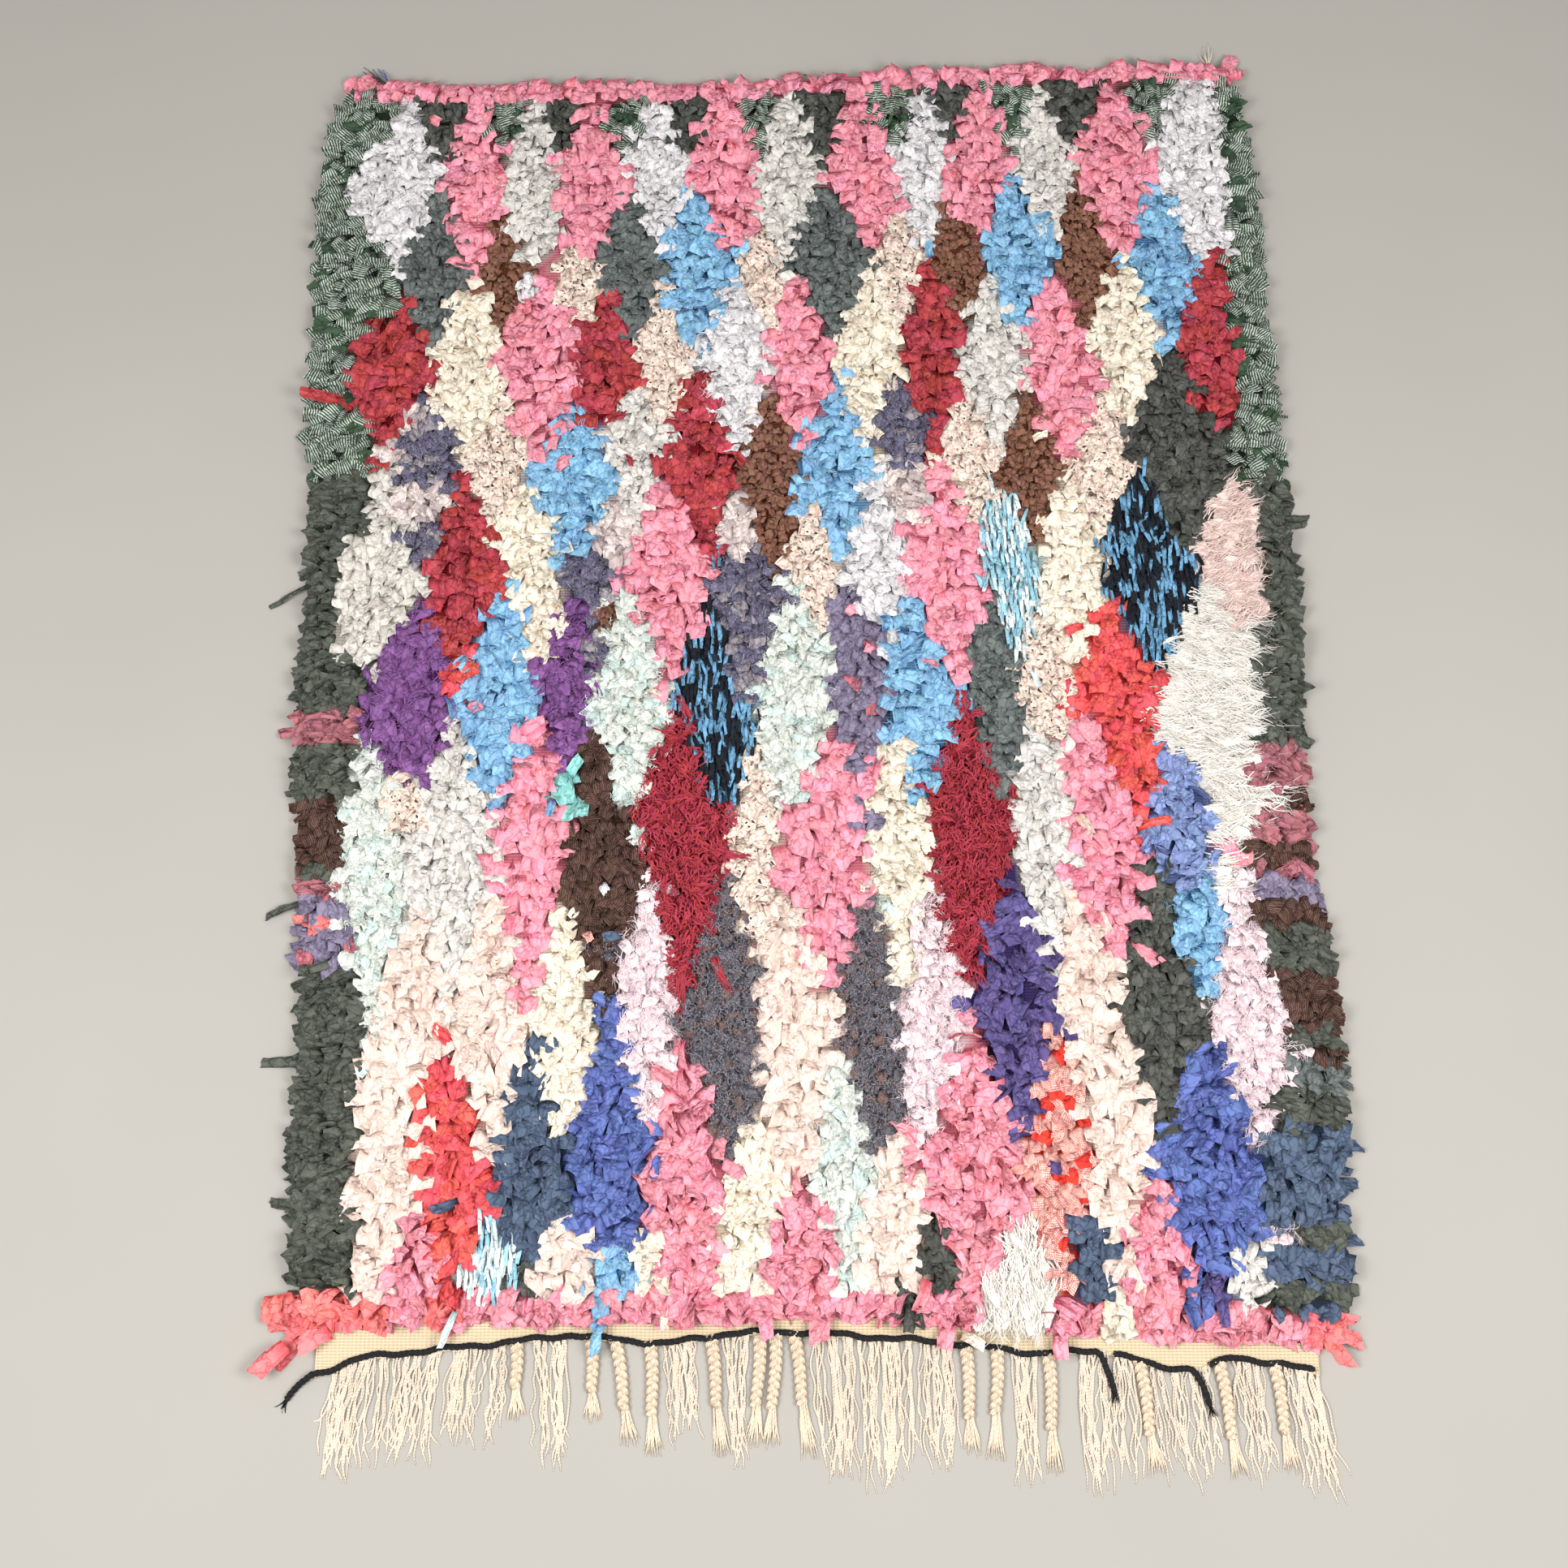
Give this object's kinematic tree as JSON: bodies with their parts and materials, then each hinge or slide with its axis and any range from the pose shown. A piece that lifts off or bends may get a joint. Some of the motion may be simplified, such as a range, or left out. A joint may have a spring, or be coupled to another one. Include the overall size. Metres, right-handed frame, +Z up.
{
  "type": "boucherouite rug",
  "caption": "Flat rag-pile rug with staggered long lozenges, ragged side edges, a woven end band with braided and loose fringe, and a black twined cord.",
  "frame": {"origin": "on the flat underside, near the middle of the pile cloth", "axes": "+X across the rug to the right as seen with the fringe nearest, +Y from the fringed end to the plain end, +Z up from the floor through the pile"},
  "size_m": [1.2387, 1.8073, 0.0269],
  "materials": {
    "mixed_rag": "matt knotted rag pile in many colours",
    "ecru_cotton": "matt undyed cotton warp yarn",
    "black_yarn": "matt black wool yarn"
  },
  "bodies": {
    "root": {"pile_cloth": "mixed_rag", "fringe_band": "ecru_cotton", "twined_cord_left": "black_yarn", "twined_cord_middle": "black_yarn", "twined_cord_right": "black_yarn"}
  },
  "joints": []
}
